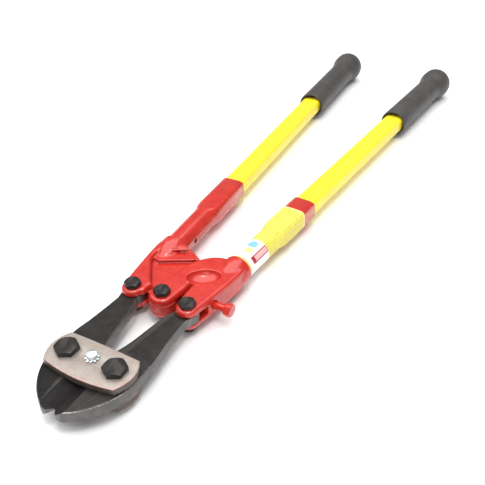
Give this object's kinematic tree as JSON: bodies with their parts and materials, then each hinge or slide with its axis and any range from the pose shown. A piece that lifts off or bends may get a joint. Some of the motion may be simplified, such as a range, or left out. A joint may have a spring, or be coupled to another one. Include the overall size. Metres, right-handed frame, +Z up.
{
  "type": "bolt cutters",
  "caption": "Long-handled bolt cutters with centre-cut jaws between straps, compound toggle heads, fibreglass handles in steel sleeves and rubber grips.",
  "frame": {"origin": "on the table, below the middle of the closed tool's length and width", "axes": "-Y towards the jaws' tips, +Y towards the grips, +Z up from the table, +X to the side with the adjusting screw"},
  "size_m": [0.1438, 0.6096, 0.0336],
  "materials": {
    "plated_steel": "satin",
    "zinc": "gloss",
    "black_steel": "satin",
    "black_oxide": "satin",
    "red_paint": "gloss",
    "yellow_fibreglass": "satin",
    "black_rubber": "matte",
    "label": "satin"
  },
  "bodies": {
    "strap": {"strap_top": "plated_steel", "strap_bottom": "plated_steel", "strap_screw": "zinc", "strap_screw_washer": "zinc", "strap_screw_nut": "zinc", "jaw_bolt_left": "black_oxide", "jaw_bolt_right": "black_oxide", "jaw_nut_left": "black_oxide", "jaw_nut_right": "black_oxide"},
    "jaw_left": {"jaw_left": "black_steel"},
    "jaw_right": {"jaw_right": "black_steel"},
    "left_lever": {"head_left": "red_paint", "toggle_bolt_left": "black_oxide", "toggle_nut_left": "black_oxide", "sleeve_left": "red_paint", "sleeve_pin_left": "black_oxide", "handle_left": "yellow_fibreglass", "grip_left": "black_rubber"},
    "right_lever": {"head_right": "red_paint", "toggle_bolt_right": "black_oxide", "toggle_nut_right": "black_oxide", "centre_bolt": "black_oxide", "centre_nut": "black_oxide", "sleeve_right": "red_paint", "sleeve_pin_right": "black_oxide", "handle_right": "yellow_fibreglass", "grip_right": "black_rubber"},
    "adjuster": {"adjusting_screw": "red_paint"}
  },
  "joints": [
    {"name": "jaw_left_pivot", "type": "hinge", "parent": "strap", "child": "jaw_left", "pos_m": [-0.0197, -0.26429, 0.0168], "axis": [0, 0, -1], "range_deg": [0, 6.9]},
    {"name": "jaw_right_pivot", "type": "hinge", "parent": "strap", "child": "jaw_right", "pos_m": [0.0197, -0.26429, 0.0168], "axis": [0, 0, 1], "range_deg": [0, 6.9]},
    {"name": "handle_left_pivot", "type": "hinge", "parent": "jaw_left", "child": "left_lever", "pos_m": [-0.0238, -0.18849, 0.0168], "axis": [0, 0, 1], "range_deg": [0, 51.87]},
    {"name": "handle_right_pivot", "type": "hinge", "parent": "jaw_right", "child": "right_lever", "pos_m": [0.0238, -0.18849, 0.0168], "axis": [0, 0, -1], "range_deg": [0, 51.87]},
    {"name": "adjuster_turn", "type": "hinge", "parent": "right_lever", "child": "adjuster", "pos_m": [0.03, -0.17029, 0.0168], "axis": [1, 0, 0], "range_deg": [-180, 180]}
  ],
  "couplings": [
    {"joint": "handle_right_pivot", "follows": "handle_left_pivot", "ratio": 1},
    {"joint": "jaw_left_pivot", "follows": "handle_left_pivot", "ratio": 0.13239},
    {"joint": "jaw_right_pivot", "follows": "handle_left_pivot", "ratio": 0.13239}
  ]
}
